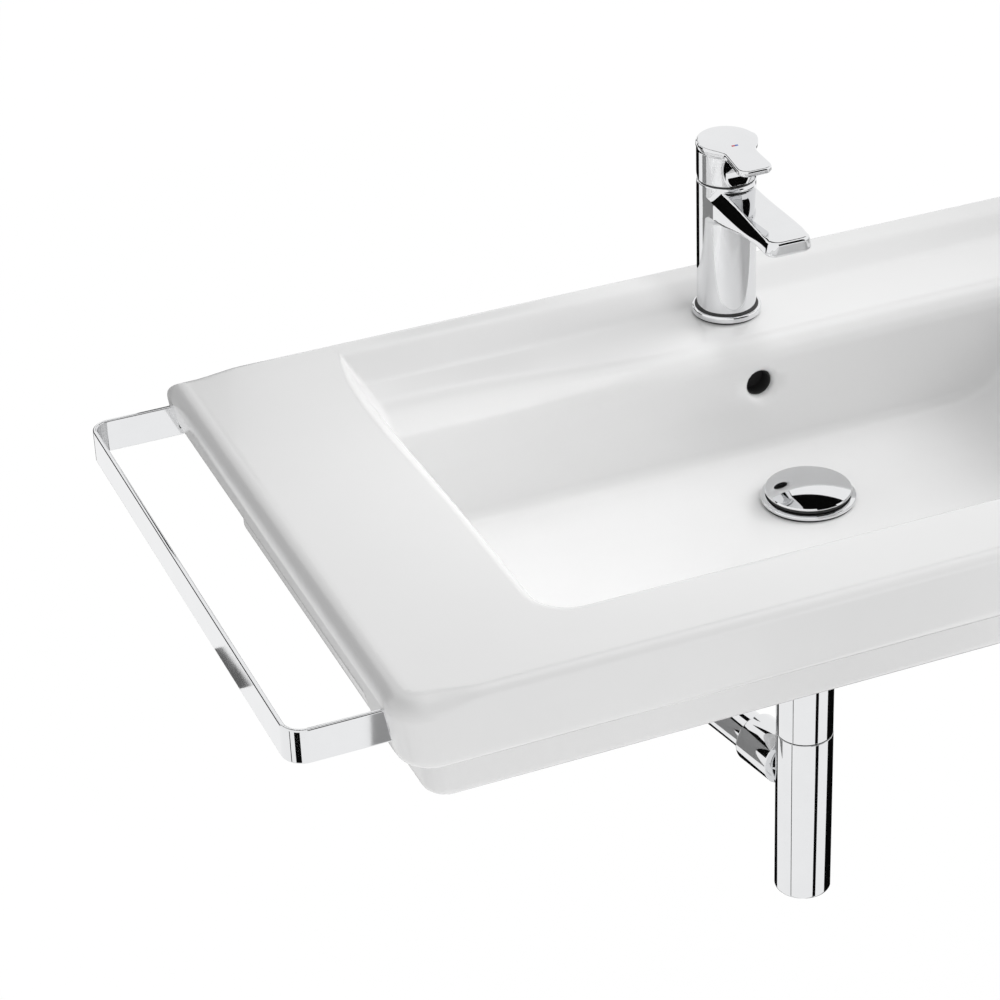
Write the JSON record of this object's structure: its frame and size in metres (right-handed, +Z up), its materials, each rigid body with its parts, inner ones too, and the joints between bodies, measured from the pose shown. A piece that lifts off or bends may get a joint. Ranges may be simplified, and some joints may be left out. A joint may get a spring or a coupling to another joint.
{
  "type": "double washbasin",
  "caption": "Wall-hung ceramic double washbasin with a sunken tap ledge, lever taps, push wastes, chrome bottle traps and a chrome towel rail on the left side.",
  "frame": {"origin": "on the wall plane at the middle of the basin's width, level with the wall fixings", "axes": "+X along the wall to the right of a person facing it, +Y into the wall, +Z up"},
  "size_m": [1.4606, 0.4794, 0.6026],
  "materials": {
    "ceramic": "white gloss glaze",
    "chrome": "polished chrome plate",
    "steel": "plain",
    "brass": "machined",
    "rubber": "matt black",
    "white_plastic": "moulded",
    "grey_plastic": "moulded",
    "index": "two-colour insert"
  },
  "bodies": {
    "basin": {"basin_body": "ceramic", "towel_rail": "chrome", "rail_tenons": "steel", "tap_studs": "brass", "tap_clamp_gaskets": "rubber", "tap_horseshoe_washers": "steel", "tap_nuts": "brass", "left_bowl": "ceramic", "left_tap_body": "chrome", "left_tap_base_ring": "chrome", "left_tap_base_gasket": "rubber", "left_tap_cartridge": "white_plastic", "left_tap_cartridge_nut": "brass", "left_tap_aerator": "grey_plastic", "left_waste_flange": "chrome", "left_waste_flange_seal": "rubber", "left_waste_lower_seal": "rubber", "left_waste_back_nut": "brass", "left_waste_click_guide": "grey_plastic", "left_trap_sleeve": "chrome", "left_trap_dip_tube": "grey_plastic", "left_trap_cup_seal": "rubber", "left_trap_cup": "chrome", "left_trap_outlet_collar": "chrome", "left_trap_outlet_seal": "rubber", "left_trap_outlet_tube": "chrome", "right_bowl": "ceramic", "right_tap_body": "chrome", "right_tap_base_ring": "chrome", "right_tap_base_gasket": "rubber", "right_tap_cartridge": "white_plastic", "right_tap_cartridge_nut": "brass", "right_tap_aerator": "grey_plastic", "right_waste_flange": "chrome", "right_waste_flange_seal": "rubber", "right_waste_lower_seal": "rubber", "right_waste_back_nut": "brass", "right_waste_click_guide": "grey_plastic", "right_trap_sleeve": "chrome", "right_trap_dip_tube": "grey_plastic", "right_trap_cup_seal": "rubber", "right_trap_cup": "chrome", "right_trap_outlet_collar": "chrome", "right_trap_outlet_seal": "rubber", "right_trap_outlet_tube": "chrome"},
    "left_tap_turn": {"left_tap_rotor": "white_plastic", "left_tap_pivot_pin": "steel"},
    "left_tap_lever": {"left_tap_lever_stem": "brass", "left_tap_handle": "chrome", "left_tap_grub_screw": "steel", "left_tap_index_dot": "index"},
    "left_plug": {"left_waste_plug": "chrome"},
    "right_tap_turn": {"right_tap_rotor": "white_plastic", "right_tap_pivot_pin": "steel"},
    "right_tap_lever": {"right_tap_lever_stem": "brass", "right_tap_handle": "chrome", "right_tap_grub_screw": "steel", "right_tap_index_dot": "index"},
    "right_plug": {"right_waste_plug": "chrome"}
  },
  "joints": [
    {"name": "left_tap_swivel", "type": "hinge", "parent": "basin", "child": "left_tap_turn", "pos_m": [-0.272, -0.069, 0.1716], "axis": [0, 0, 1], "range_deg": [-50, 50]},
    {"name": "left_tap_lift", "type": "hinge", "parent": "left_tap_turn", "child": "left_tap_lever", "pos_m": [-0.272, -0.069, 0.1776], "axis": [-1, 0, 0], "range_deg": [0, 22]},
    {"name": "left_waste_pop", "type": "slide", "parent": "basin", "child": "left_plug", "axis": [0, 0, 1], "range_m": [0, 0.008]},
    {"name": "right_tap_swivel", "type": "hinge", "parent": "basin", "child": "right_tap_turn", "pos_m": [0.272, -0.069, 0.1716], "axis": [0, 0, 1], "range_deg": [-50, 50]},
    {"name": "right_tap_lift", "type": "hinge", "parent": "right_tap_turn", "child": "right_tap_lever", "pos_m": [0.272, -0.069, 0.1776], "axis": [-1, 0, 0], "range_deg": [0, 22]},
    {"name": "right_waste_pop", "type": "slide", "parent": "basin", "child": "right_plug", "axis": [0, 0, 1], "range_m": [0, 0.008]}
  ]
}
